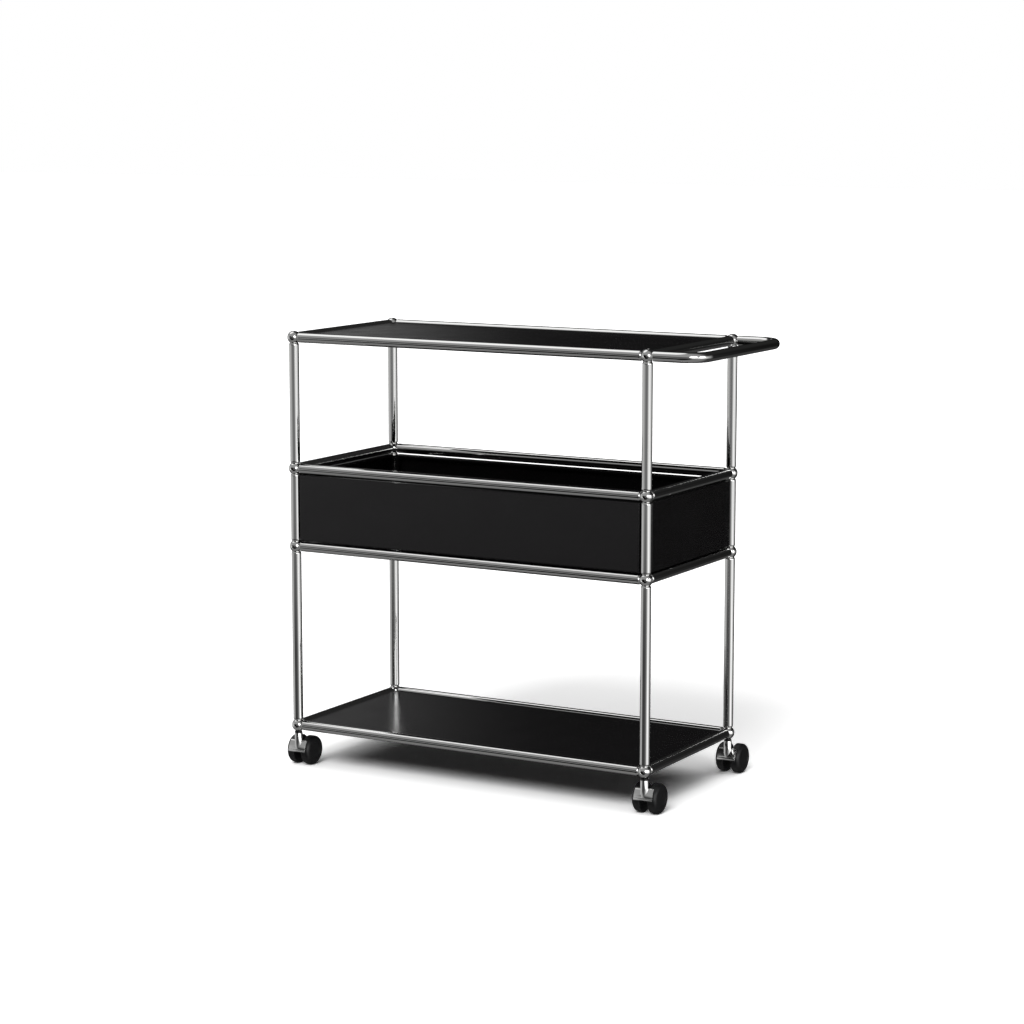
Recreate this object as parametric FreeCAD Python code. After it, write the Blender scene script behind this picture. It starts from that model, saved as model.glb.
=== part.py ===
import FreeCAD, Part
import math
import os

# Storage trolley of chromed tubes and ball connectors, with black sheet-steel panels,
# an open-topped tray, a push handle and four twin-wheel castors. All sizes are in millimetres.
# +X points to the handle, +Y to the back and +Z up. The origin lies on the floor, at the
# middle of the box round the whole trolley, handle and trailing castors included.

os.makedirs("parts", exist_ok=True)
Vector = FreeCAD.Vector
X_AXIS = Vector(1, 0, 0)
Y_AXIS = Vector(0, 1, 0)
Z_AXIS = Vector(0, 0, 1)
FULL_TURN = 360.0
QUARTER_TURN = 90.0

# Grid of the frame, from ball centre to ball centre.
width = 750.0
depth = 350.0
lower_bay = 350.0
middle_bay = 150.0
upper_bay = 250.0

# Ball connector, with the spigots that are screwed into it for the tubes, and tapped holes on its
# free faces.
ball_diameter = 25.0
spigot_length = 10.0
spigot_clearance = 0.05
thread_core_diameter = 5.0
castor_thread_core_diameter = 6.8
thread_depth = 7.5

# Chromed steel tube, turned down to a slimmer neck where it meets a ball.
tube_diameter = 19.0
tube_wall = 2.0
neck_diameter = 16.0
neck_taper = 3.0

# Push handle, one bent tube on the right-hand end.
handle_reach = 100.0
handle_bend_radius = 40.0

# Sheet-steel panel with folded edges and a hem turned in at the bottom of each edge.
panel_gap = 2.4
panel_rise = 5.0
sheet_thickness = 1.25
fold_depth = 13.0
fold_radius = 2.0
hem_width = 8.0

# Spring clip that fills the gap between a tube and a folded edge.
clip_length = 24.0
clip_drop = 1.0
clip_thickness = 1.2
clip_grip_width = 6.2
clip_foot_reach = 6.0
clip_clearance = 0.1
clip_spacing = 250.0

# Twin-wheel castor. Its wheels run on both sides of a round boss and trail behind it.
wheel_diameter = 56.0
wheel_width = 17.0
wheel_shoulder = 7.0
tread_bevel = 1.0
wheel_cap_thickness = 2.0
castor_trail = 21.5
axle_drop = 52.5
axle_diameter = 6.0
axle_end_gap = 0.5
running_clearance = 0.05
press_clearance = 0.02
side_clearance = 0.3
boss_diameter = 15.0
boss_side_clearance = 0.5
hub_diameter = 18.0
hood_thickness = 1.0
hood_clearance = 0.4
hood_width = 37.0
hood_lip_height = 4.0
hood_lip_thickness = 1.0
hood_arc = 47.0
pin_diameter = 8.0
pin_depth = 25.0
pin_end_gap = 1.0
collar_diameter = 14.0
collar_thickness = 3.5
stud_clearance = 0.05
stud_end_gap = 0.5

# Length by which a cutting body runs past what it cuts.
overrun = 1.0

# Derived sizes.
tube_radius = tube_diameter / 2
neck_radius = neck_diameter / 2
bore_radius = tube_radius - tube_wall
ball_radius = ball_diameter / 2
wheel_radius = wheel_diameter / 2
axle_radius = axle_diameter / 2
thread_radius = thread_core_diameter / 2
castor_thread_radius = castor_thread_core_diameter / 2
base_height = wheel_radius + axle_drop
tube_seat = math.sqrt(ball_radius**2 - bore_radius**2)
thread_mouth = math.sqrt(ball_radius**2 - thread_radius**2)
castor_mouth = math.sqrt(ball_radius**2 - castor_thread_radius**2)
wheel_inner_face = boss_diameter / 2 + boss_side_clearance
wheel_outer_face = wheel_inner_face + wheel_width
frame_x = (wheel_outer_face - handle_reach - tube_radius) / 2
frame_y = (thread_mouth - castor_trail - wheel_radius) / 2

LEVELS = {
    "base": base_height,
    "tray_floor": base_height + lower_bay,
    "tray_rim": base_height + lower_bay + middle_bay,
    "top": base_height + lower_bay + middle_bay + upper_bay,
}
CORNERS = {
    "front_left": (-1, -1),
    "front_right": (1, -1),
    "back_left": (-1, 1),
    "back_right": (1, 1),
}


def corner_point(side_x, side_y, height):
    """Centre of the ball at one corner of the frame, at a height above the floor."""
    return Vector(frame_x + side_x * width / 2, frame_y + side_y * depth / 2, height)


def save(name, shapes):
    """Write the solids of one node."""
    solids = [solid for shape in shapes for solid in shape.Solids]
    shape = solids[0] if len(solids) == 1 else Part.makeCompound(solids)
    shape.exportStep("parts/" + name + ".step")


def turned(outline):
    """A body of revolution about Z from (radius, height) points."""
    points = [Vector(radius, 0, height) for radius, height in outline]
    face = Part.Face(Part.makePolygon(points + points[:1]))
    return face.revolve(Vector(), Z_AXIS, FULL_TURN)


def placed(shape, position, direction=Z_AXIS):
    """A copy whose own +Z lies along a direction and whose origin lies at a position."""
    copy = shape.copy()
    copy.Placement = FreeCAD.Placement(position, FreeCAD.Rotation(Z_AXIS, direction))
    return copy


def rod(radius, low, high):
    """A plain cylinder on Z from one height to another."""
    return Part.makeCylinder(radius, high - low, Vector(0, 0, low))


# Tubes.


def tube(start, end):
    """A straight tube between two ball centres, with a tapered neck at both ends."""
    span = end - start
    low = tube_seat
    high = span.Length - tube_seat
    outline = [
        (bore_radius, low),
        (neck_radius, low),
        (tube_radius, low + neck_taper),
        (tube_radius, high - neck_taper),
        (neck_radius, high),
        (bore_radius, high),
    ]
    return placed(turned(outline), start, span)


def make_posts():
    """Three upright tubes at each corner, one for each bay."""
    bays = {
        "lower": ("base", "tray_floor"),
        "middle": ("tray_floor", "tray_rim"),
        "upper": ("tray_rim", "top"),
    }
    for corner, (side_x, side_y) in CORNERS.items():
        for bay, (bottom, top) in bays.items():
            start = corner_point(side_x, side_y, LEVELS[bottom])
            end = corner_point(side_x, side_y, LEVELS[top])
            save("post_" + corner + "_" + bay, [tube(start, end)])


def make_rails():
    """Four level tubes at each level of the frame."""
    sides = {
        "front": ((-1, -1), (1, -1)),
        "back": ((-1, 1), (1, 1)),
        "left": ((-1, -1), (-1, 1)),
        "right": ((1, -1), (1, 1)),
    }
    for level, height in LEVELS.items():
        for side, (first, last) in sides.items():
            start = corner_point(*first, height)
            end = corner_point(*last, height)
            save("rail_" + side + "_" + level, [tube(start, end)])


def make_handle():
    """One tube bent twice, from the top ball at the front to the one at the back."""
    height = LEVELS["top"]
    front = corner_point(1, -1, height)
    back = corner_point(1, 1, height)
    outward = X_AXIS * handle_reach
    bends = []
    for ball, along_bar in ((front, Y_AXIS), (back, -Y_AXIS)):
        corner = ball + outward
        centre = corner - X_AXIS * handle_bend_radius + along_bar * handle_bend_radius
        middle = centre + (X_AXIS - along_bar) * (handle_bend_radius / math.sqrt(2))
        bends.append((corner - X_AXIS * handle_bend_radius, middle, corner + along_bar * handle_bend_radius))
    start = front + X_AXIS * tube_seat
    end = back + X_AXIS * tube_seat
    path = Part.Wire(
        [
            Part.LineSegment(start, bends[0][0]).toShape(),
            Part.Arc(*bends[0]).toShape(),
            Part.LineSegment(bends[0][2], bends[1][2]).toShape(),
            Part.Arc(bends[1][2], bends[1][1], bends[1][0]).toShape(),
            Part.LineSegment(bends[1][0], end).toShape(),
        ]
    )
    skins = []
    for radius in (tube_radius, bore_radius):
        ring = Part.Wire([Part.makeCircle(radius, start, X_AXIS)])
        skins.append(path.makePipeShell([ring], True, False))
    handle = skins[0].cut(skins[1])
    slope = neck_taper / (tube_radius - neck_radius)
    cutter = turned(
        [
            (neck_radius - overrun, -overrun * slope),
            (tube_radius + overrun, -overrun * slope),
            (tube_radius + overrun, neck_taper + overrun * slope),
        ]
    )
    for tube_end in (start, end):
        handle = handle.cut(placed(cutter, tube_end, X_AXIS))
    save("handle", [handle])


# Ball connectors.


def ball_connector(side_x, side_y, level):
    """A ball with a spigot for each tube that meets it and a tapped hole in each free face.

    The lowest balls have a larger hole below, for the stem of a castor.
    """
    levels = list(LEVELS)
    tube_faces = [X_AXIS * -side_x, Y_AXIS * -side_y]
    open_faces = [Y_AXIS * side_y]
    has_handle = side_x > 0 and level == "top"
    (tube_faces if has_handle else open_faces).append(X_AXIS * side_x)
    (open_faces if level == levels[-1] else tube_faces).append(Z_AXIS)
    if level != levels[0]:
        tube_faces.append(-Z_AXIS)
    ball = Part.makeSphere(ball_radius)
    spigot = rod(bore_radius - spigot_clearance, 0, tube_seat + spigot_length)
    hole = rod(thread_radius, thread_mouth - thread_depth, ball_radius)
    for face in tube_faces:
        ball = ball.fuse(placed(spigot, Vector(), face))
    for face in open_faces:
        ball = ball.cut(placed(hole, Vector(), face))
    if level == levels[0]:
        castor_hole = rod(castor_thread_radius, castor_mouth - thread_depth, ball_radius)
        ball = ball.cut(placed(castor_hole, Vector(), -Z_AXIS))
    return ball


def make_ball_connectors():
    """The four balls of each level, as one group."""
    for level, height in LEVELS.items():
        balls = []
        for side_x, side_y in CORNERS.values():
            ball = ball_connector(side_x, side_y, level)
            balls.append(placed(ball, corner_point(side_x, side_y, height)))
        save("ball_connectors_" + level, balls)


# Panels. Each is made lying flat, with its outer face up, in the middle of the four tubes round it.


def folded_section(length, radius, low, high):
    """Face across a panel, square to Y: flat on top, rounded into its two folded edges."""
    half = length / 2
    knee = radius * (1 - math.sqrt(0.5))
    left = [Vector(-half, 0, high - radius), Vector(-half + knee, 0, high - knee), Vector(-half + radius, 0, high)]
    right = [Vector(-point.x, 0, point.z) for point in reversed(left)]
    foot_left = Vector(-half, 0, low)
    foot_right = Vector(half, 0, low)
    edges = [
        Part.LineSegment(foot_left, left[0]),
        Part.Arc(*left),
        Part.LineSegment(left[2], right[0]),
        Part.Arc(*right),
        Part.LineSegment(right[2], foot_right),
        Part.LineSegment(foot_right, foot_left),
    ]
    return Part.Face(Part.Wire([edge.toShape() for edge in edges]))


def folded_block(length, breadth, radius, low, high):
    """A block whose four top edges are rounded, with mitred corners."""
    lengthwise = folded_section(length, radius, low, high)
    lengthwise.translate(Y_AXIS * (-breadth / 2))
    across = folded_section(breadth, radius, low, high)
    across.rotate(Vector(), Z_AXIS, QUARTER_TURN)
    across.translate(X_AXIS * (-length / 2))
    return lengthwise.extrude(Y_AXIS * breadth).common(across.extrude(X_AXIS * length))


def panel(span_x, span_y):
    """A folded panel between tubes whose axes lie span_x and span_y apart."""
    length = span_x - tube_diameter - 2 * panel_gap
    breadth = span_y - tube_diameter - 2 * panel_gap
    low = panel_rise - fold_depth
    outer = folded_block(length, breadth, fold_radius, low, panel_rise)
    inner = folded_block(
        length - 2 * sheet_thickness,
        breadth - 2 * sheet_thickness,
        fold_radius - sheet_thickness,
        low + sheet_thickness,
        panel_rise - sheet_thickness,
    )
    window_x = length - 2 * hem_width
    window_y = breadth - 2 * hem_width
    corner = Vector(-window_x / 2, -window_y / 2, low - sheet_thickness)
    window = Part.makeBox(window_x, window_y, 3 * sheet_thickness, corner)
    return outer.cut(inner).cut(window)


def clip():
    """A clip on a tube that lies along X through the origin, with the panel on its +Y side."""
    edge = tube_radius + panel_gap - clip_clearance
    foot_top = panel_rise - fold_depth - clip_clearance
    foot_low = foot_top - clip_thickness
    grip_start = edge - clip_grip_width
    outline = [
        Vector(0, grip_start, foot_low),
        Vector(0, edge + clip_foot_reach, foot_low),
        Vector(0, edge + clip_foot_reach, foot_top),
        Vector(0, edge, foot_top),
        Vector(0, edge, -clip_drop),
        Vector(0, grip_start, -clip_drop),
    ]
    block = Part.Face(Part.makePolygon(outline + outline[:1])).extrude(X_AXIS * clip_length)
    block.translate(X_AXIS * (-clip_length / 2))
    seat = placed(rod(tube_radius + clip_clearance, -clip_length, clip_length), Vector(), X_AXIS)
    return block.cut(seat)


def clips_round(span_x, span_y, bare_side):
    """The clips on the tubes round a panel, evenly spaced about the middle of each.

    The sides are counted round from -Y. The bare side has no clips.
    """
    clips = []
    for turn in range(4):
        if turn == bare_side:
            continue
        along, offset = (span_x, span_y) if turn % 2 == 0 else (span_y, span_x)
        count = max(1, round(along / clip_spacing) - 1)
        for index in range(count):
            piece = clip()
            piece.translate(Vector(clip_spacing * (index - (count - 1) / 2), -offset / 2, 0))
            piece.rotate(Vector(), Z_AXIS, QUARTER_TURN * turn)
            clips.append(piece)
    return clips


def make_panels():
    """Three level panels and the four walls of the tray, with the clips that hold them.

    The walls have no clips along the rim of the tray.
    """
    wall_height = LEVELS["tray_floor"] + middle_bay / 2
    flat = FreeCAD.Rotation()
    tip_front = FreeCAD.Rotation(X_AXIS, QUARTER_TURN)
    tip_back = FreeCAD.Rotation(X_AXIS, -QUARTER_TURN)
    tip_left = FreeCAD.Rotation(Y_AXIS, -QUARTER_TURN)
    tip_right = FreeCAD.Rotation(Y_AXIS, QUARTER_TURN)
    middle = Vector(frame_x, frame_y, 0)
    layout = {
        "top_panel": (width, depth, flat, Vector(0, 0, LEVELS["top"]), None),
        "base_panel": (width, depth, flat, Vector(0, 0, LEVELS["base"]), None),
        "tray_floor_panel": (width, depth, flat, Vector(0, 0, LEVELS["tray_floor"]), None),
        "tray_front_panel": (width, middle_bay, tip_front, Vector(0, -depth / 2, wall_height), 2),
        "tray_back_panel": (width, middle_bay, tip_back, Vector(0, depth / 2, wall_height), 0),
        "tray_left_panel": (middle_bay, depth, tip_left, Vector(-width / 2, 0, wall_height), 1),
        "tray_right_panel": (middle_bay, depth, tip_right, Vector(width / 2, 0, wall_height), 3),
    }
    clips = []
    for name, (span_x, span_y, turn, offset, bare_side) in layout.items():
        place = FreeCAD.Placement(middle + offset, turn)
        piece = panel(span_x, span_y)
        piece.Placement = place
        save(name, [piece])
        for fastener in clips_round(span_x, span_y, bare_side):
            fastener.Placement = place.multiply(fastener.Placement)
            clips.append(fastener)
    save("panel_clips", clips)


# Castors. Each is made with its stem on Z through the origin and the floor at height zero.


def across(shape):
    """Lay a body of revolution on the axle, with its own +Z towards +X."""
    return placed(shape, Vector(0, castor_trail, wheel_radius), X_AXIS)


def wheel(side):
    """A moulded wheel with a flat tread, a shoulder that falls away in two steps and a closed face."""
    inner = wheel_inner_face
    outer = wheel_outer_face
    bore = axle_radius + running_clearance
    knee = wheel_shoulder * (1 - math.sqrt(1 / 2))
    outline = [
        (bore, inner),
        (wheel_radius - tread_bevel, inner),
        (wheel_radius, inner + tread_bevel),
        (wheel_radius, outer - wheel_shoulder),
        (wheel_radius - knee, outer - knee),
        (wheel_radius - wheel_shoulder, outer),
        (0, outer),
        (0, outer - wheel_cap_thickness),
        (bore, outer - wheel_cap_thickness),
    ]
    body = across(turned(outline))
    if side < 0:
        body = body.mirror(Vector(), X_AXIS)
    return body


def axle():
    """Steel axle, pressed through the hub, with a wheel running on each end."""
    half = wheel_outer_face - wheel_cap_thickness - axle_end_gap
    return across(rod(axle_radius, -half, half))


def hood_sector(inner_radius, outer_radius, breadth, start_angle, end_angle):
    """Part of a ring round the axle. Angles rise from the horizontal in front of the axle."""

    def on_arc(radius, angle):
        turn = math.radians(angle)
        spread = radius * math.cos(turn)
        return Vector(-breadth / 2, castor_trail - spread, wheel_radius + radius * math.sin(turn))

    half_way = (start_angle + end_angle) / 2
    outer = Part.Arc(*[on_arc(outer_radius, angle) for angle in (start_angle, half_way, end_angle)])
    edges = [outer]
    if inner_radius > 0:
        edges.append(Part.LineSegment(on_arc(outer_radius, end_angle), on_arc(inner_radius, end_angle)))
        edges.append(Part.Arc(*[on_arc(inner_radius, angle) for angle in (end_angle, half_way, start_angle)]))
        edges.append(Part.LineSegment(on_arc(inner_radius, start_angle), on_arc(outer_radius, start_angle)))
    else:
        centre = on_arc(0, 0)
        edges.append(Part.LineSegment(on_arc(outer_radius, end_angle), centre))
        edges.append(Part.LineSegment(centre, on_arc(outer_radius, start_angle)))
    return Part.Face(Part.Wire([edge.toShape() for edge in edges])).extrude(X_AXIS * breadth)


def castor_housing():
    """The chromed casting that turns on the stem: boss, web, axle hub and a hood over the wheels."""
    hood_inner = wheel_radius + hood_clearance
    hood_outer = hood_inner + hood_thickness
    lip_angle = math.degrees(math.asin(hood_lip_height / hood_outer))
    boss_top = base_height - castor_mouth - collar_thickness - side_clearance
    boss = rod(boss_diameter / 2, wheel_radius, boss_top)
    hood = hood_sector(hood_inner, hood_outer, hood_width, 0, hood_arc)
    lip = hood_sector(hood_inner, hood_outer + hood_lip_thickness, hood_width, 0, lip_angle)
    web = hood_sector(0, hood_outer, boss_diameter, 0, hood_arc)
    hub_half = wheel_inner_face - side_clearance
    hub = across(rod(hub_diameter / 2, -hub_half, hub_half))
    bore_floor = boss_top - pin_depth - pin_end_gap
    pin_bore = rod(pin_diameter / 2 + running_clearance, bore_floor, boss_top + overrun)
    axle_bore = across(rod(axle_radius + press_clearance, -wheel_inner_face, wheel_inner_face))
    return boss.multiFuse([hood, lip, web, hub]).removeSplitter().cut(pin_bore).cut(axle_bore)


def castor_stem():
    """Steel stem: a stud in the ball above, a shoulder under the ball and the swivel pin below."""
    shoulder = base_height - castor_mouth
    boss_top = shoulder - collar_thickness - side_clearance
    stud_radius = castor_thread_radius - stud_clearance
    return turned(
        [
            (0, boss_top - pin_depth),
            (pin_diameter / 2, boss_top - pin_depth),
            (pin_diameter / 2, shoulder),
            (stud_radius, shoulder),
            (stud_radius, shoulder + thread_depth - stud_end_gap),
            (0, shoulder + thread_depth - stud_end_gap),
        ]
    )


def castor_collar():
    """Plastic collar, pushed onto the pin between the ball and the boss."""
    shoulder = base_height - castor_mouth
    low = shoulder - collar_thickness
    hole = rod(pin_diameter / 2 + press_clearance, low - overrun, shoulder + overrun)
    return rod(collar_diameter / 2, low, shoulder).cut(hole)


def make_castors():
    """The stems and collars as two groups, and the turning pieces of each castor one by one."""
    stems = []
    collars = []
    for corner, (side_x, side_y) in CORNERS.items():
        foot = corner_point(side_x, side_y, 0)
        stems.append(castor_stem().translated(foot))
        collars.append(castor_collar().translated(foot))
        pieces = {
            "housing": castor_housing(),
            "axle": axle(),
            "left_wheel": wheel(-1),
            "right_wheel": wheel(1),
        }
        for name, piece in pieces.items():
            save(corner + "_castor_" + name, [piece.translated(foot)])
    save("castor_stems", stems)
    save("castor_collars", collars)


make_posts()
make_rails()
make_handle()
make_ball_connectors()
make_panels()
make_castors()
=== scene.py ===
import math

import bmesh
import bpy
from mathutils import Matrix, Vector


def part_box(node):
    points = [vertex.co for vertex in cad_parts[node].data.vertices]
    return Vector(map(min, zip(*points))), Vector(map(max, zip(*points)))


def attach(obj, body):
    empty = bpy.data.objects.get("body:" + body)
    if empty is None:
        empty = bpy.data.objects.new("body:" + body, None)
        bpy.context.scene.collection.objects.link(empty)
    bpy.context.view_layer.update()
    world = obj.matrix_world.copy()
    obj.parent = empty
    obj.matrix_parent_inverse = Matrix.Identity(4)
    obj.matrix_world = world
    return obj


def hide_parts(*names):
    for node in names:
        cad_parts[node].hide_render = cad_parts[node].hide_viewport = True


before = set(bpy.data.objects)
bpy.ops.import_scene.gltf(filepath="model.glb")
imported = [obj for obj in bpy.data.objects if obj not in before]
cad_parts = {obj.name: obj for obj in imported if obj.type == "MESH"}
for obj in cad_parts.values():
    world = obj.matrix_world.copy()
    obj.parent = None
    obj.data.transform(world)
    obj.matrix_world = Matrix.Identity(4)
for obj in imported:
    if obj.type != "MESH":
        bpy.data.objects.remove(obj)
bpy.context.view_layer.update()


# The straight tubes of the frame, one between each two neighbouring balls.
# Drawn steel tube, polished and chrome plated. Each end is turned down to a short tapered neck,
# which meets the ball that it is clamped on.
MM = 0.001
TUBE_RADIUS = 9.5 * MM
BORE_RADIUS = 7.5 * MM
NECK_RADIUS = 8.0 * MM
NECK_TAPER = 3.0 * MM
NECK_EDGE = 0.3 * MM
PLAIN_STRETCH = 1.5 * MM
TUBE_STEPS = 72
SHARP_ANGLE = math.radians(35)
MERGE_DISTANCE = 0.001 * MM
AXIS_TURNS = {
    0: Matrix.Rotation(math.radians(90), 4, "Y"),
    1: Matrix.Rotation(math.radians(-90), 4, "X"),
    2: Matrix.Identity(4),
}
CORNERS = ["front_left", "front_right", "back_left", "back_right"]
LEVELS = ["base", "tray_floor", "tray_rim", "top"]
BAYS = ["lower", "middle", "upper"]
SIDES = ["front", "back", "left", "right"]

CHROME_COLOUR = "#E8E8E7"
CHROME_ROUGHNESS = (0.03, 0.09)
CHROME_SMUDGE = 45 * MM
CHROME_WAVE = 16 * MM
CHROME_WAVE_HEIGHT = 0.005 * MM
MEAN_CHROME_ROUGHNESS = 0.05
# Nearly all of a noise lies between these two levels.
NOISE_RANGE = (0.3, 0.7)
COARSE_DETAIL = 1.0
PLAIN_DETAIL = 2.0
FINE_DETAIL = 3.0
FINEST_DETAIL = 4.0


def linear(hex_colour):
    """The linear RGBA of an sRGB colour."""
    channels = [int(hex_colour[start : start + 2], 16) / 255 for start in (1, 3, 5)]
    return [c / 12.92 if c <= 0.04045 else ((c + 0.055) / 1.055) ** 2.4 for c in channels] + [1.0]


def add_node(tree, kind, values=None, links=None, **settings):
    """A node with its settings, its socket values and the sockets that feed it."""
    node = tree.nodes.new(kind)
    for name, value in settings.items():
        setattr(node, name, value)
    for socket, value in (values or {}).items():
        node.inputs[socket].default_value = value
    for socket, source in (links or {}).items():
        tree.links.new(source, node.inputs[socket])
    return node


def new_material(name, colour, metallic, roughness):
    """A material with one shader, and the place on the object for its patterns."""
    material = bpy.data.materials.new(name)
    material.use_nodes = True
    tree = material.node_tree
    tree.nodes.clear()
    shader = add_node(
        tree,
        "ShaderNodeBsdfPrincipled",
        {"Base Color": linear(colour), "Metallic": metallic, "Roughness": roughness},
    )
    add_node(tree, "ShaderNodeOutputMaterial", links={"Surface": shader.outputs[0]})
    place = add_node(tree, "ShaderNodeTexCoord").outputs["Object"]
    return material, tree, shader, place


def noise(tree, place, size, detail=PLAIN_DETAIL):
    """Cloudy noise whose lumps are about one size wide."""
    return add_node(
        tree,
        "ShaderNodeTexNoise",
        {"Scale": 1 / size, "Detail": detail},
        {"Vector": place},
    ).outputs["Fac"]


def vary(tree, source, low, high):
    """Noise spread over a range."""
    return add_node(
        tree,
        "ShaderNodeMapRange",
        {"From Min": NOISE_RANGE[0], "From Max": NOISE_RANGE[1], "To Min": low, "To Max": high},
        {"Value": source},
    ).outputs["Result"]


def bump(tree, height, depth, below=None):
    """A surface that rises by depth where height is one."""
    links = {"Height": height}
    if below is not None:
        links["Normal"] = below
    return add_node(tree, "ShaderNodeBump", {"Strength": 1.0, "Distance": depth}, links).outputs[0]


def make_chrome():
    """Bright chrome plate on polished steel: a mirror, with faint waves left by the polishing belt and
    cloudy patches where it has been wiped."""
    material, tree, shader, place = new_material(
        "polished_chrome_plate",
        CHROME_COLOUR,
        1.0,
        MEAN_CHROME_ROUGHNESS,
    )
    smudge = vary(tree, noise(tree, place, CHROME_SMUDGE, FINEST_DETAIL), *CHROME_ROUGHNESS)
    tree.links.new(smudge, shader.inputs["Roughness"])
    wave = bump(tree, noise(tree, place, CHROME_WAVE), CHROME_WAVE_HEIGHT)
    tree.links.new(wave, shader.inputs["Normal"])
    return material


def turned(outline, steps, closed=True):
    """A shape turned about Z from (radius, height) points. A closed outline comes back to its start."""
    shape = bmesh.new()
    chain = [shape.verts.new((radius, 0, height)) for radius, height in outline]
    edges = [shape.edges.new(pair) for pair in zip(chain, chain[1:])]
    if closed:
        edges.append(shape.edges.new((chain[-1], chain[0])))
    bmesh.ops.spin(
        shape,
        geom=chain + edges,
        axis=(0, 0, 1),
        cent=(0, 0, 0),
        angle=math.tau,
        steps=steps,
        use_merge=True,
    )
    bmesh.ops.remove_doubles(shape, verts=shape.verts, dist=MERGE_DISTANCE)
    bmesh.ops.recalc_face_normals(shape, faces=shape.faces)
    return shape


def add_piece(name, shape, material, body, node):
    """The finished piece, in place of the node that it stands for."""
    mesh = bpy.data.meshes.new(name)
    shape.to_mesh(mesh)
    shape.free()
    mesh.shade_smooth()
    mesh.set_sharp_from_angle(angle=SHARP_ANGLE)
    mesh.materials.append(material)
    piece = bpy.data.objects.new(name, mesh)
    bpy.context.scene.collection.objects.link(piece)
    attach(piece, body)
    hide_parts(node)
    return piece


def tube_shape(length):
    """A tube on Z that starts at the origin. The plain stretches keep its long wall straight."""
    half = [
        (BORE_RADIUS, 0),
        (NECK_RADIUS - NECK_EDGE, 0),
        (NECK_RADIUS, NECK_EDGE),
        (TUBE_RADIUS - NECK_EDGE / 2, NECK_TAPER - NECK_EDGE),
        (TUBE_RADIUS, NECK_TAPER + NECK_EDGE),
        (TUBE_RADIUS, NECK_TAPER + NECK_EDGE + PLAIN_STRETCH),
    ]
    return turned(half + [(radius, length - height) for radius, height in reversed(half)], TUBE_STEPS)


chrome = make_chrome()
tube_nodes = [f"post_{corner}_{bay}" for corner in CORNERS for bay in BAYS]
tube_nodes += [f"rail_{side}_{level}" for level in LEVELS for side in SIDES]
for node in tube_nodes:
    low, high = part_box(node)
    spans = high - low
    along = max(range(3), key=lambda axis: spans[axis])
    start = (low + high) / 2
    start[along] = low[along]
    shape = tube_shape(spans[along])
    bmesh.ops.transform(shape, matrix=Matrix.Translation(start) @ AXIS_TURNS[along], verts=shape.verts)
    add_piece("tube_" + node, shape, chrome, "frame", node)


# The ball connectors, sixteen in all, four to a level.
# Turned from brass and chrome plated. Each has six tapped holes: some take the spigots of the
# tubes, and the free ones show as round dark mouths, with painted shade on their threads.
BALL_RADIUS = 12.5 * MM
THREAD_RADIUS = 2.5 * MM
CASTOR_THREAD_RADIUS = 3.4 * MM
THREAD_GROOVE = 0.4 * MM
THREAD_PITCH = 1.0 * MM
THREAD_TURNS = 6
MOUTH_BEVEL = 0.45 * MM
# Painted shade: the threads inside the holes are coloured near black.
PAINTED_THREAD_SHADE = "#1C1A17"
THREAD_METALLIC = 0.6
THREAD_ROUGHNESS = 0.45
BALL_MERGE_DISTANCE = 0.01 * MM
TUBE_SEAT = math.sqrt(BALL_RADIUS**2 - BORE_RADIUS**2)
BALL_SEGMENTS = 32
BALL_RINGS = 7
BALL_TURNS = [
    Matrix.Identity(4),
    Matrix.Rotation(math.radians(180), 4, "X"),
    Matrix.Rotation(math.radians(90), 4, "X"),
    Matrix.Rotation(math.radians(-90), 4, "X"),
    Matrix.Rotation(math.radians(90), 4, "Y"),
    Matrix.Rotation(math.radians(-90), 4, "Y"),
]
DOWN = 1


def corner_axis(corner):
    """The middle of a corner's posts, seen from above."""
    low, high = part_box(f"post_{corner}_lower")
    return (low + high) / 2


def level_height(level):
    """The height of a level's ball centres, from the ends of the posts that meet them."""
    index = LEVELS.index(level)
    if index == 0:
        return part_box("post_front_left_lower")[0].z - TUBE_SEAT
    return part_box(f"post_front_left_{BAYS[index - 1]}")[1].z + TUBE_SEAT


def grow_ring(shape, ring, place):
    """A new ring of faces outside a ring of edges. place gives each new corner from the old one."""
    grown = bmesh.ops.extrude_edge_only(shape, edges=ring)["geom"]
    for corner in [part for part in grown if isinstance(part, bmesh.types.BMVert)]:
        corner.co = place(corner.co)
    return [part for part in grown if isinstance(part, bmesh.types.BMEdge) and part.is_boundary]


def make_thread():
    """The threads are cut after plating. Their near-black colour is painted shade that keeps the holes
    dark.
    """
    return new_material("cut_thread_painted_shade", PAINTED_THREAD_SHADE, THREAD_METALLIC, THREAD_ROUGHNESS)[0]


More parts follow.
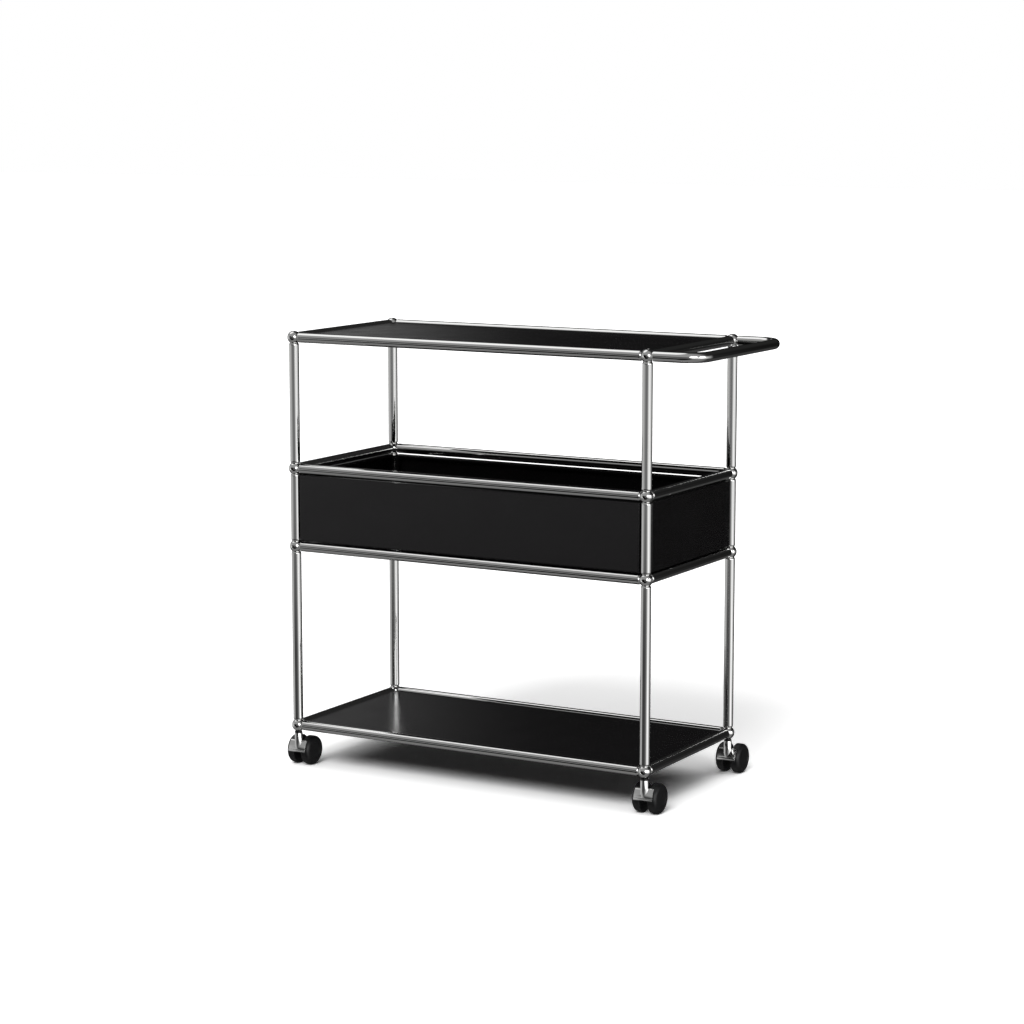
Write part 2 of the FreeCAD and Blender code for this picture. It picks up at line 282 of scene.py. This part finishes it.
def ball_face(thread_radius):
    """The sixth of a ball round +Z: a threaded hole, its bevelled mouth, and the ball out to the edges
    that it shares with the next four faces."""
    shape = bmesh.new()
    mouth_radius = thread_radius + MOUTH_BEVEL
    mouth = math.sqrt(BALL_RADIUS**2 - mouth_radius**2)
    bottom = mouth - MOUTH_BEVEL - THREAD_TURNS * THREAD_PITCH
    bmesh.ops.create_circle(
        shape,
        cap_ends=True,
        radius=thread_radius,
        segments=BALL_SEGMENTS,
        matrix=Matrix.Translation((0, 0, bottom)),
    )
    ring = shape.edges[:]

    def to(radius, height):
        return lambda spot: Vector((spot.x, spot.y, 0)).normalized() * radius + Vector((0, 0, height))

    for turn in range(THREAD_TURNS):
        crest = bottom + turn * THREAD_PITCH
        ring = grow_ring(shape, ring, to(thread_radius + THREAD_GROOVE, crest + THREAD_PITCH / 2))
        ring = grow_ring(shape, ring, to(thread_radius, crest + THREAD_PITCH))
    thread_faces = set(shape.faces)
    ring = grow_ring(shape, ring, to(mouth_radius, mouth))
    mouth_angle = math.asin(mouth_radius / BALL_RADIUS)
    for step in range(1, BALL_RINGS + 1):
        share = step / BALL_RINGS

        def outward(spot):
            around = Vector((spot.x, spot.y, 0)).normalized()
            edge_angle = math.atan(1 / max(abs(around.x), abs(around.y)))
            angle = mouth_angle + (edge_angle - mouth_angle) * share
            return (around * math.sin(angle) + Vector((0, 0, math.cos(angle)))) * BALL_RADIUS

        ring = grow_ring(shape, ring, outward)
    for face in shape.faces:
        face.material_index = int(face in thread_faces)
    return shape


def join(shape, part):
    """Adds a part to a shape and uses the part up."""
    mesh = bpy.data.meshes.new("part")
    part.to_mesh(mesh)
    part.free()
    shape.from_mesh(mesh)
    bpy.data.meshes.remove(mesh)


def ball_shape(lower_thread_radius):
    """Six faces, joined along their edges. The one below has its own size of hole."""
    shape = bmesh.new()
    for index, turn in enumerate(BALL_TURNS):
        face = ball_face(lower_thread_radius if index == DOWN else THREAD_RADIUS)
        bmesh.ops.transform(face, matrix=turn, verts=face.verts)
        join(shape, face)
    bmesh.ops.remove_doubles(shape, verts=shape.verts, dist=BALL_MERGE_DISTANCE)
    bmesh.ops.recalc_face_normals(shape, faces=shape.faces)
    return shape


thread = make_thread()
for level in LEVELS:
    balls = bmesh.new()
    for corner in CORNERS:
        one_ball = ball_shape(CASTOR_THREAD_RADIUS if level == "base" else THREAD_RADIUS)
        axis = corner_axis(corner)
        bmesh.ops.translate(one_ball, vec=(axis.x, axis.y, level_height(level)), verts=one_ball.verts)
        join(balls, one_ball)
    piece = add_piece(f"balls_{level}", balls, chrome, "frame", f"ball_connectors_{level}")
    piece.data.materials.append(thread)


# The push handle, on the right-hand end of the top level.
# One chromed tube like the others, bent twice on a mandrel, with the same turned necks.
HANDLE_BEND_RADIUS = 40 * MM
BEND_STEPS = 20


def handle_skin(radius, neck_radius, start, reach, span):
    """One wall of the handle, from the front ball out, along the bar and back. It is open at its ends."""
    shape = bmesh.new()
    turn = Matrix.Translation(start) @ AXIS_TURNS[0]
    bmesh.ops.create_circle(shape, cap_ends=False, radius=neck_radius, segments=TUBE_STEPS, matrix=turn)
    first = shape.edges[:]

    def straight(ring, step, scale=1.0):
        grown = bmesh.ops.extrude_edge_only(shape, edges=ring)["geom"]
        corners = [part for part in grown if isinstance(part, bmesh.types.BMVert)]
        middle = sum((corner.co for corner in corners), Vector()) / len(corners)
        for corner in corners:
            corner.co = middle + (corner.co - middle) * scale + step
        return [part for part in grown if isinstance(part, bmesh.types.BMEdge) and part.is_boundary]

    def bend(ring, centre):
        corners = list({corner for edge in ring for corner in edge.verts})
        spun = bmesh.ops.spin(
            shape,
            geom=corners + ring,
            axis=(0, 0, 1),
            cent=centre,
            angle=math.radians(90),
            steps=BEND_STEPS,
        )["geom_last"]
        return [part for part in spun if isinstance(part, bmesh.types.BMEdge)]

    arm = reach - TUBE_SEAT - HANDLE_BEND_RADIUS
    out = Vector((1, 0, 0))
    across = Vector((0, 1, 0))
    corner = start + out * arm
    ring = straight(first, out * NECK_TAPER, radius / neck_radius)
    ring = straight(ring, out * PLAIN_STRETCH)
    ring = straight(ring, out * (arm - NECK_TAPER - PLAIN_STRETCH))
    ring = bend(ring, corner + across * HANDLE_BEND_RADIUS)
    ring = straight(ring, across * (span - 2 * HANDLE_BEND_RADIUS))
    ring = bend(ring, corner + across * (span - HANDLE_BEND_RADIUS))
    ring = straight(ring, -out * (arm - NECK_TAPER - PLAIN_STRETCH))
    ring = straight(ring, -out * PLAIN_STRETCH)
    straight(ring, -out * NECK_TAPER, neck_radius / radius)
    return shape


front_axis = corner_axis("front_right")
back_axis = corner_axis("back_right")
handle_start = Vector((front_axis.x + TUBE_SEAT, front_axis.y, level_height("top")))
handle_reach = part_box("handle")[1].x - TUBE_RADIUS - front_axis.x
handle_span = back_axis.y - front_axis.y
skins = bmesh.new()
for radius, neck_radius in ((TUBE_RADIUS, NECK_RADIUS), (BORE_RADIUS, BORE_RADIUS)):
    skin = handle_skin(radius, neck_radius, handle_start, handle_reach, handle_span)
    join(skins, skin)
for end in (front_axis, back_axis):
    open_edges = [edge for edge in skins.edges if edge.is_boundary]
    rims = [edge for edge in open_edges if abs(edge.verts[0].co.y - end.y) < TUBE_RADIUS]
    bmesh.ops.bridge_loops(skins, edges=rims)
bmesh.ops.recalc_face_normals(skins, faces=skins.faces)
add_piece("push_handle", skins, chrome, "frame", "handle")


# The panels: three level ones and the four walls of the tray.
# Sheet steel, folded down and hemmed round its four edges, then powder coated in gloss black.
SHEET = 1.25 * MM
FOLD_RADIUS = 2.0 * MM
FOLD_SEGMENTS = 6
PLAIN_MARGIN = 1.0 * MM
HEM_WIDTH = 8.0 * MM
COAT_COLOUR = "#131213"
COAT_ROUGHNESS = (0.16, 0.23)
MEAN_COAT_ROUGHNESS = 0.2
ROUND_PROFILE = 0.5
COAT_PATCH = 60 * MM
ORANGE_PEEL = 1.8 * MM
ORANGE_PEEL_HEIGHT = 0.0015 * MM
# The outer face of each panel, as the axis that it is square to and the side that it faces.
PANEL_FACES = {
    "top_panel": (2, 1),
    "base_panel": (2, 1),
    "tray_floor_panel": (2, 1),
    "tray_front_panel": (1, -1),
    "tray_back_panel": (1, 1),
    "tray_left_panel": (0, -1),
    "tray_right_panel": (0, 1),
}
# The left wall of the tray hangs at the top of the play in its clips.
PANEL_LIFTS = {"tray_left_panel": 1.7 * MM}


def make_powder_coat():
    """Gloss black powder coat. Baked powder flows out to a smooth skin with a fine orange peel, and its
    gloss drifts a little over a large sheet."""
    material, tree, shader, place = new_material(
        "gloss_black_powder_coat",
        COAT_COLOUR,
        0.0,
        MEAN_COAT_ROUGHNESS,
    )
    patch = vary(tree, noise(tree, place, COAT_PATCH, FINE_DETAIL), *COAT_ROUGHNESS)
    tree.links.new(patch, shader.inputs["Roughness"])
    peel = bump(tree, noise(tree, place, ORANGE_PEEL, COARSE_DETAIL), ORANGE_PEEL_HEIGHT)
    tree.links.new(peel, shader.inputs["Normal"])
    return material


def panel_shape(sizes):
    """A folded panel with its outer face up, in the middle of its own box. The plain margin keeps the
    wide face flat right up to its rounded folds."""
    shape = bmesh.new()
    bmesh.ops.create_cube(shape, size=1.0, matrix=Matrix.Diagonal((*sizes, 1)))
    folds = shape.edges[:]
    floor = min(shape.faces, key=lambda face: face.calc_center_median().z)
    bmesh.ops.inset_region(shape, faces=[floor], thickness=HEM_WIDTH)
    bmesh.ops.delete(shape, geom=[floor], context="FACES")
    bmesh.ops.bevel(
        shape,
        geom=folds,
        offset=FOLD_RADIUS,
        segments=FOLD_SEGMENTS,
        profile=ROUND_PROFILE,
        affect="EDGES",
        material=-1,
    )
    outer = max(shape.faces, key=lambda face: face.calc_area())
    bmesh.ops.inset_region(shape, faces=[outer], thickness=PLAIN_MARGIN)
    return shape


powder_coat = make_powder_coat()
for node, (axis, side) in PANEL_FACES.items():
    low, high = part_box(node)
    spans = high - low
    facing = Vector([side if index == axis else 0 for index in range(3)])
    turn = Vector((0, 0, 1)).rotation_difference(facing).to_matrix().to_4x4()
    sizes = [abs(value) for value in turn.inverted() @ spans]
    shape = panel_shape(sizes)
    place = (low + high) / 2 + Vector((0, 0, PANEL_LIFTS.get(node, 0)))
    bmesh.ops.transform(shape, matrix=Matrix.Translation(place) @ turn, verts=shape.verts)
    bmesh.ops.recalc_face_normals(shape, faces=shape.faces)
    panel = add_piece("sheet_" + node, shape, powder_coat, "frame", node)
    wall = panel.modifiers.new("sheet", "SOLIDIFY")
    wall.thickness = SHEET
    wall.offset = -1
    wall.use_even_offset = True


# The clips that hold the panels between the tubes.
# Rolled spring steel, blued dark, so that little of them shows in the gap beside a tube.
CLIP_COLOUR = "#2A2B2E"
CLIP_GRAIN = 0.8 * MM
CLIP_GRAIN_HEIGHT = 0.004 * MM
CLIP_ROUGHNESS = 0.38


def make_spring_steel():
    """Blued spring steel: dark, half bright, with the fine grain of the rolling mill."""
    material, tree, shader, place = new_material("blued_spring_steel", CLIP_COLOUR, 1.0, CLIP_ROUGHNESS)
    grain = bump(tree, noise(tree, place, CLIP_GRAIN, FINE_DETAIL), CLIP_GRAIN_HEIGHT)
    tree.links.new(grain, shader.inputs["Normal"])
    return material


def paint(node, material):
    """A new finish on a piece whose shape stays as it is."""
    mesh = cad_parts[node].data
    mesh.materials.clear()
    mesh.materials.append(material)


paint("panel_clips", make_spring_steel())


# The stems and collars of the castors.
# Each stem is a turned steel pin, screwed into the ball above it. The collar is a ring of black
# nylon, pushed onto the pin between the ball and the castor.
STEEL_COLOUR = "#9A9B9E"
STEEL_MARK = 0.5 * MM
STEEL_MARK_HEIGHT = 0.003 * MM
STEEL_MARK_WANDER = 0.4
STEEL_ROUGHNESS = 0.3
PIN_RADIUS = 4.0 * MM
COLLAR_RADIUS = 7.0 * MM
COLLAR_EDGE = 0.5 * MM
NYLON_COLOUR = "#111112"
NYLON_ROUGHNESS = (0.36, 0.5)
MEAN_NYLON_ROUGHNESS = 0.42
NYLON_PATCH = 9 * MM
NYLON_GRAIN = 0.6 * MM
NYLON_GRAIN_HEIGHT = 0.006 * MM


def make_turned_steel():
    """Turned steel, left bare, with the fine rings of the lathe tool."""
    material, tree, shader, place = new_material("turned_steel", STEEL_COLOUR, 1.0, STEEL_ROUGHNESS)
    rings = add_node(
        tree,
        "ShaderNodeTexWave",
        {"Scale": 1 / STEEL_MARK, "Distortion": STEEL_MARK_WANDER},
        {"Vector": place},
        bands_direction="Z",
    ).outputs["Fac"]
    tree.links.new(bump(tree, rings, STEEL_MARK_HEIGHT), shader.inputs["Normal"])
    return material


def make_nylon():
    """Moulded black nylon: satin, with a fine spark-eroded grain and patches rubbed smoother."""
    material, tree, shader, place = new_material(
        "moulded_black_nylon",
        NYLON_COLOUR,
        0.0,
        MEAN_NYLON_ROUGHNESS,
    )
    patch = vary(tree, noise(tree, place, NYLON_PATCH, FINE_DETAIL), *NYLON_ROUGHNESS)
    tree.links.new(patch, shader.inputs["Roughness"])
    grain = bump(tree, noise(tree, place, NYLON_GRAIN), NYLON_GRAIN_HEIGHT)
    tree.links.new(grain, shader.inputs["Normal"])
    return material


turned_steel = make_turned_steel()
nylon = make_nylon()
paint("castor_stems", turned_steel)
for corner in CORNERS:
    paint(f"{corner}_castor_axle", turned_steel)

collar_low, collar_high = (point.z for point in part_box("castor_collars"))
collars = bmesh.new()
for corner in CORNERS:
    ring = turned(
        [
            (PIN_RADIUS, collar_low),
            (COLLAR_RADIUS - COLLAR_EDGE, collar_low),
            (COLLAR_RADIUS, collar_low + COLLAR_EDGE),
            (COLLAR_RADIUS, collar_high - COLLAR_EDGE),
            (COLLAR_RADIUS - COLLAR_EDGE, collar_high),
            (PIN_RADIUS, collar_high),
        ],
        TUBE_STEPS,
    )
    axis = corner_axis(corner)
    bmesh.ops.translate(ring, vec=(axis.x, axis.y, 0), verts=ring.verts)
    join(collars, ring)
add_piece("collars", collars, nylon, "frame", "castor_collars")


# The castor housings. Each is a zinc casting, polished and chrome plated: a round boss that turns
# on the stem, a web, a hub for the axle, and a hood that covers the front of both wheels.
HOUSING_EDGE = 0.35 * MM
HOUSING_EDGE_SEGMENTS = 2
HOUSING_MERGE_DISTANCE = 0.002 * MM
FLAT_ANGLE = math.radians(1)
EDGE_ANGLE = math.radians(25)


def housing_shape(node):
    """The casting with its flat faces made whole and its edges rounded."""
    shape = bmesh.new()
    shape.from_mesh(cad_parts[node].data)
    bmesh.ops.remove_doubles(shape, verts=shape.verts, dist=HOUSING_MERGE_DISTANCE)
    bmesh.ops.dissolve_limit(
        shape,
        angle_limit=FLAT_ANGLE,
        verts=shape.verts,
        edges=shape.edges,
    )
    crisp = [edge for edge in shape.edges if edge.is_manifold and edge.calc_face_angle() > EDGE_ANGLE]
    bmesh.ops.bevel(
        shape,
        geom=crisp,
        offset=HOUSING_EDGE,
        segments=HOUSING_EDGE_SEGMENTS,
        profile=ROUND_PROFILE,
        affect="EDGES",
        material=-1,
        clamp_overlap=True,
    )
    return shape


for corner in CORNERS:
    node = f"{corner}_castor_housing"
    add_piece(f"{corner}_hood", housing_shape(node), chrome, f"{corner}_castor", node)


# The wheels, two to a castor. Each is moulded in black nylon, with a flat tread between a small
# inner bevel and a well-rounded outer shoulder, and a closed face that hides the axle.
WHEEL_SHOULDER = 7.0 * MM
TREAD_BEVEL = 1.0 * MM
FACE_STEP = 0.5 * MM
FACE_STEP_RADIUS = 15.0 * MM
WHEEL_BORE_RADIUS = 3.05 * MM
WHEEL_CAP = 2.0 * MM
WHEEL_STEPS = 96
SHOULDER_POINTS = 10


def wheel_shape(radius, width):
    """A wheel on Z, with its inner face on the plane through the origin."""
    centre_radius = radius - WHEEL_SHOULDER
    centre_height = width - WHEEL_SHOULDER
    shoulder = []
    for index in range(SHOULDER_POINTS + 1):
        angle = math.radians(90) * index / SHOULDER_POINTS
        spot = (
            centre_radius + WHEEL_SHOULDER * math.cos(angle),
            centre_height + WHEEL_SHOULDER * math.sin(angle),
        )
        shoulder.append(spot)
    outline = [
        (WHEEL_BORE_RADIUS, 0),
        (radius - TREAD_BEVEL, 0),
        (radius, TREAD_BEVEL),
        *shoulder,
        (FACE_STEP_RADIUS + FACE_STEP, width),
        (FACE_STEP_RADIUS, width - FACE_STEP),
        (0, width - FACE_STEP),
        (0, width - WHEEL_CAP),
        (WHEEL_BORE_RADIUS, width - WHEEL_CAP),
    ]
    return turned(outline, WHEEL_STEPS)


for corner in CORNERS:
    for side, facing in (("left", -1), ("right", 1)):
        node = f"{corner}_castor_{side}_wheel"
        low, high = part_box(node)
        middle = (low + high) / 2
        inner_face = high.x if facing < 0 else low.x
        shape = wheel_shape((high.z - low.z) / 2, high.x - low.x)
        outward = Matrix.Rotation(math.radians(90 * facing), 4, "Y")
        place = Matrix.Translation((inner_face, middle.y, middle.z)) @ outward
        bmesh.ops.transform(shape, matrix=place, verts=shape.verts)
        body = f"{corner}_castor_{side}_wheel"
        add_piece(f"{corner}_{side}_wheel", shape, nylon, body, node)


# The studio: a pale floor that runs out of the picture on every side.
# The camera sees it a little over white, so that only real shadow shows on it.
FLOOR_SIZE = 60.0
FLOOR_WHITE = 0.9
FLOOR_WHITE_SEEN = 1.52


def make_floor_material():
    """Matt white paint. The camera alone sees it brighter."""
    material = bpy.data.materials.new("matt_white_studio_floor")
    material.use_nodes = True
    tree = material.node_tree
    tree.nodes.clear()
    seen = add_node(
        tree,
        "ShaderNodeMapRange",
        {"To Min": FLOOR_WHITE, "To Max": FLOOR_WHITE_SEEN},
        {"Value": add_node(tree, "ShaderNodeLightPath").outputs["Is Camera Ray"]},
    ).outputs["Result"]
    paint_layer = add_node(tree, "ShaderNodeBsdfDiffuse", links={"Color": seen})
    add_node(tree, "ShaderNodeOutputMaterial", links={"Surface": paint_layer.outputs[0]})
    return material


floor_shape = bmesh.new()
bmesh.ops.create_grid(floor_shape, x_segments=1, y_segments=1, size=FLOOR_SIZE / 2)
floor_mesh = bpy.data.meshes.new("floor")
floor_shape.to_mesh(floor_mesh)
floor_shape.free()
floor_mesh.materials.append(make_floor_material())
floor = bpy.data.objects.new("floor", floor_mesh)
bpy.context.scene.collection.objects.link(floor)
floor.visible_glossy = False


# The light: a soft key in front, to the left of the camera, and a wide soft light overhead.
# The metal mirrors neither the studio's floor nor its white background. It mirrors a room: bright on
# the right, grey in front and on the left, dark at the back, with a dim ceiling and floor, a soft box
# overhead on the left and two bright ones on the right.
KEY_BEARING = math.radians(-84)
KEY_HEIGHT = math.radians(43)
KEY_SPREAD = math.radians(30)
KEY_STRENGTH = 1.7
OVERHEAD_SPREAD = math.radians(110)
OVERHEAD_STRENGTH = 1.7
ROOM_LIGHT = 0.05
# The room is seen from the trolley. Bearings are in degrees from +X, counted towards +Y.
# Heights are sines of the angle above level.
BEARINGS = (-180, 180)
EYE_LINE_STOPS = [
    (-180, 0.56),
    (-156, 0.56),
    (-146, 0.45),
    (-127, 0.44),
    (-120, 0.33),
    (-103, 0.233),
    (-97, 0.17),
    (-81, 0.175),
    (-75, 0.155),
    (-60, 0.20),
    (-53, 0.306),
    (-38, 0.77),
    (-31, 0.78),
    (-15.6, 1.07),
    (-8.5, 1.08),
    (9, 0.75),
    (17, 0.82),
    (38, 0.34),
    (48, 0.20),
    (60, 0.03),
    (66, 0.01),
    (113, 0.006),
    (118, 0.012),
    (120.6, 0.066),
    (123, 0.23),
    (127, 0.30),
    (150, 0.48),
    (180, 0.56),
]
WALL_STOPS = [
    (-180, 0.50),
    (-154, 0.49),
    (-140, 0.45),
    (-129, 0.28),
    (-123, 0.03),
    (-110, 0.05),
    (-90, 0.055),
    (-75, 0.06),
    (-60, 0.12),
    (-48, 0.22),
    (-37, 0.36),
    (-22, 1.00),
    (-8, 1.30),
    (10, 0.95),
    (25, 0.50),
    (40, 0.28),
    (50, 0.12),
    (58, 0.02),
    (66, 0.008),
    (113, 0.006),
    (117.5, 0.006),
    (119.3, 0.008),
    (120.2, 0.021),
    (121.1, 0.062),
    (122, 0.118),
    (122.9, 0.215),
    (127, 0.30),
    (150, 0.45),
    (180, 0.50),
]
EYE_LINE = -0.1115
EYE_LINE_REACH = (0.026, 0.096)
CEILING_START = (0.1, 0.42)
CEILING_DEPTHS = (-0.2, 0.5)
CEILING_LEVELS = (0.33, 0.02)
GROUND_START = (-0.2, -0.42)
NEAR_GROUND_DEPTHS = (-0.73, -0.64)
NEAR_GROUND_LEVELS = (0.004, 0.2)
FAR_GROUND_DEPTHS = (0.1, 0.5)
FAR_GROUND_LEVEL = 0.05
# Glossy depth from the second mirror image down to the first.
MIRROR_DEPTHS = (2.0, 1.0)
# Each lamp's direction, the cosines between which its edge fades in, its level, and whether it still
# shows in a mirror image of a mirror image.
MIRRORED_LAMPS = [
    ((-0.5, 0.02, 0.866), (0.9, 0.935), 1.1, False),
    ((0.98, -0.05, 0.2), (0.957, 0.982), 2.5, True),
    ((0.7156, -0.6444, 0.27), (0.94, 0.978), 3.3, True),
]


def fill_ramp(ramp, stops, low, high):
    """Grey levels at places along a ramp that runs from low to high."""
    while len(ramp.elements) > 1:
        ramp.elements.remove(ramp.elements[-1])
    ramp.elements[0].position = 0
    for index, (place, level) in enumerate(stops):
        position = (place - low) / (high - low)
        stop = ramp.elements[0] if index == 0 else ramp.elements.new(position)
        stop.position = position
        stop.color = (level, level, level, 1)


def fade(tree, value, start_end, levels=(0.0, 1.0)):
    """A smooth change from one level to the next, between two values."""
    return add_node(
        tree,
        "ShaderNodeMapRange",
        {"From Min": start_end[0], "From Max": start_end[1], "To Min": levels[0], "To Max": levels[1]},
        {"Value": value},
        interpolation_type="SMOOTHSTEP",
    ).outputs["Result"]


def blend(tree, share, first, second):
    """One grey level that changes over to another as the share goes to one."""
    links = {0: share}
    values = {}
    for socket, level in ((2, first), (3, second)):
        (values if isinstance(level, float) else links)[socket] = level
    return add_node(tree, "ShaderNodeMix", values, links, data_type="FLOAT").outputs[0]


def make_room():
    """The world: plain light on the object, a white background, and the room for the metal to mirror."""
    world = bpy.data.worlds.new("studio_room")
    bpy.context.scene.world = world
    world.use_nodes = True
    tree = world.node_tree
    tree.nodes.clear()
    direction = add_node(tree, "ShaderNodeTexCoord").outputs["Generated"]
    parts = add_node(tree, "ShaderNodeSeparateXYZ", links={0: direction}).outputs
    bearing = add_node(
        tree,
        "ShaderNodeMath",
        links={0: parts["Y"], 1: parts["X"]},
        operation="ARCTAN2",
    ).outputs[0]
    around = add_node(
        tree,
        "ShaderNodeMapRange",
        {"From Min": -math.pi, "From Max": math.pi},
        {"Value": bearing},
    ).outputs[0]
    eye_line = add_node(tree, "ShaderNodeValToRGB", links={0: around})
    fill_ramp(eye_line.color_ramp, EYE_LINE_STOPS, *BEARINGS)
    walls = add_node(tree, "ShaderNodeValToRGB", links={0: around})
    fill_ramp(walls.color_ramp, WALL_STOPS, *BEARINGS)
    from_eye_line = add_node(tree, "ShaderNodeMath", {1: EYE_LINE}, {0: parts["Z"]}, operation="SUBTRACT")
    apart = add_node(tree, "ShaderNodeMath", links={0: from_eye_line.outputs[0]}, operation="ABSOLUTE")
    room = blend(
        tree,
        fade(tree, apart.outputs[0], EYE_LINE_REACH),
        eye_line.outputs["Color"],
        walls.outputs["Color"],
    )
    path = add_node(tree, "ShaderNodeLightPath").outputs
    once = fade(tree, path["Glossy Depth"], MIRROR_DEPTHS)
    ceiling = fade(tree, parts["Y"], CEILING_DEPTHS, CEILING_LEVELS)
    ceiling = blend(tree, once, CEILING_LEVELS[1], ceiling)
    room = blend(tree, fade(tree, parts["Z"], CEILING_START), room, ceiling)
    ground = fade(tree, parts["Y"], NEAR_GROUND_DEPTHS, NEAR_GROUND_LEVELS)
    ground = blend(tree, fade(tree, parts["Y"], FAR_GROUND_DEPTHS), ground, FAR_GROUND_LEVEL)
    room = blend(tree, fade(tree, parts["Z"], GROUND_START), room, ground)
    for way, edge, level, shows_twice in MIRRORED_LAMPS:
        towards = add_node(
            tree,
            "ShaderNodeVectorMath",
            {1: way},
            {0: direction},
            operation="DOT_PRODUCT",
        ).outputs["Value"]
        share = fade(tree, towards, edge)
        if not shows_twice:
            share = blend(tree, once, 0.0, share)
        room = blend(tree, share, room, level)
    plain = blend(tree, path["Is Glossy Ray"], ROOM_LIGHT, room)
    clear = add_node(
        tree,
        "ShaderNodeMath",
        links={0: path["Is Camera Ray"], 1: path["Is Transmission Ray"]},
        operation="MAXIMUM",
    ).outputs[0]
    seen = blend(tree, clear, plain, 1.0)
    background = add_node(tree, "ShaderNodeBackground", {"Strength": 1.0}, {"Color": seen})
    add_node(tree, "ShaderNodeOutputWorld", links={"Surface": background.outputs[0]})


def add_sun(name, bearing, height, spread, strength):
    """A soft distant light. The metal mirrors the room's walls in its place."""
    direction = Vector(
        (
            math.cos(height) * math.cos(bearing),
            math.cos(height) * math.sin(bearing),
            math.sin(height),
        )
    )
    light = bpy.data.lights.new(name, "SUN")
    light.angle = spread
    light.energy = strength
    sun = bpy.data.objects.new(name, light)
    sun.rotation_euler = direction.to_track_quat("Z", "Y").to_euler()
    sun.visible_glossy = False
    bpy.context.scene.collection.objects.link(sun)


make_room()
add_sun("soft_key", KEY_BEARING, KEY_HEIGHT, KEY_SPREAD, KEY_STRENGTH)
add_sun("soft_overhead", 0, math.radians(90), OVERHEAD_SPREAD, OVERHEAD_STRENGTH)


# The camera: a long lens at chest height, in front of the trolley and to its right.
CAMERA_PLACE = Vector((2508.0, -4485.4, 1289.5)) * MM
CAMERA_YAW = -0.51869
CAMERA_PITCH = -0.15209
CAMERA_ROLL = 0.00011
LENS = 96.39
SENSOR = 36.0
CAMERA_REACH = 100.0
camera_data = bpy.data.cameras.new("camera")
camera_data.lens = LENS
camera_data.sensor_width = SENSOR
camera_data.clip_end = CAMERA_REACH
camera = bpy.data.objects.new("camera", camera_data)
camera.location = CAMERA_PLACE
camera.rotation_euler = (math.radians(90) + CAMERA_PITCH, CAMERA_ROLL, -CAMERA_YAW)
bpy.context.scene.collection.objects.link(camera)
bpy.context.scene.camera = camera
bpy.context.scene.view_settings.view_transform = "Standard"
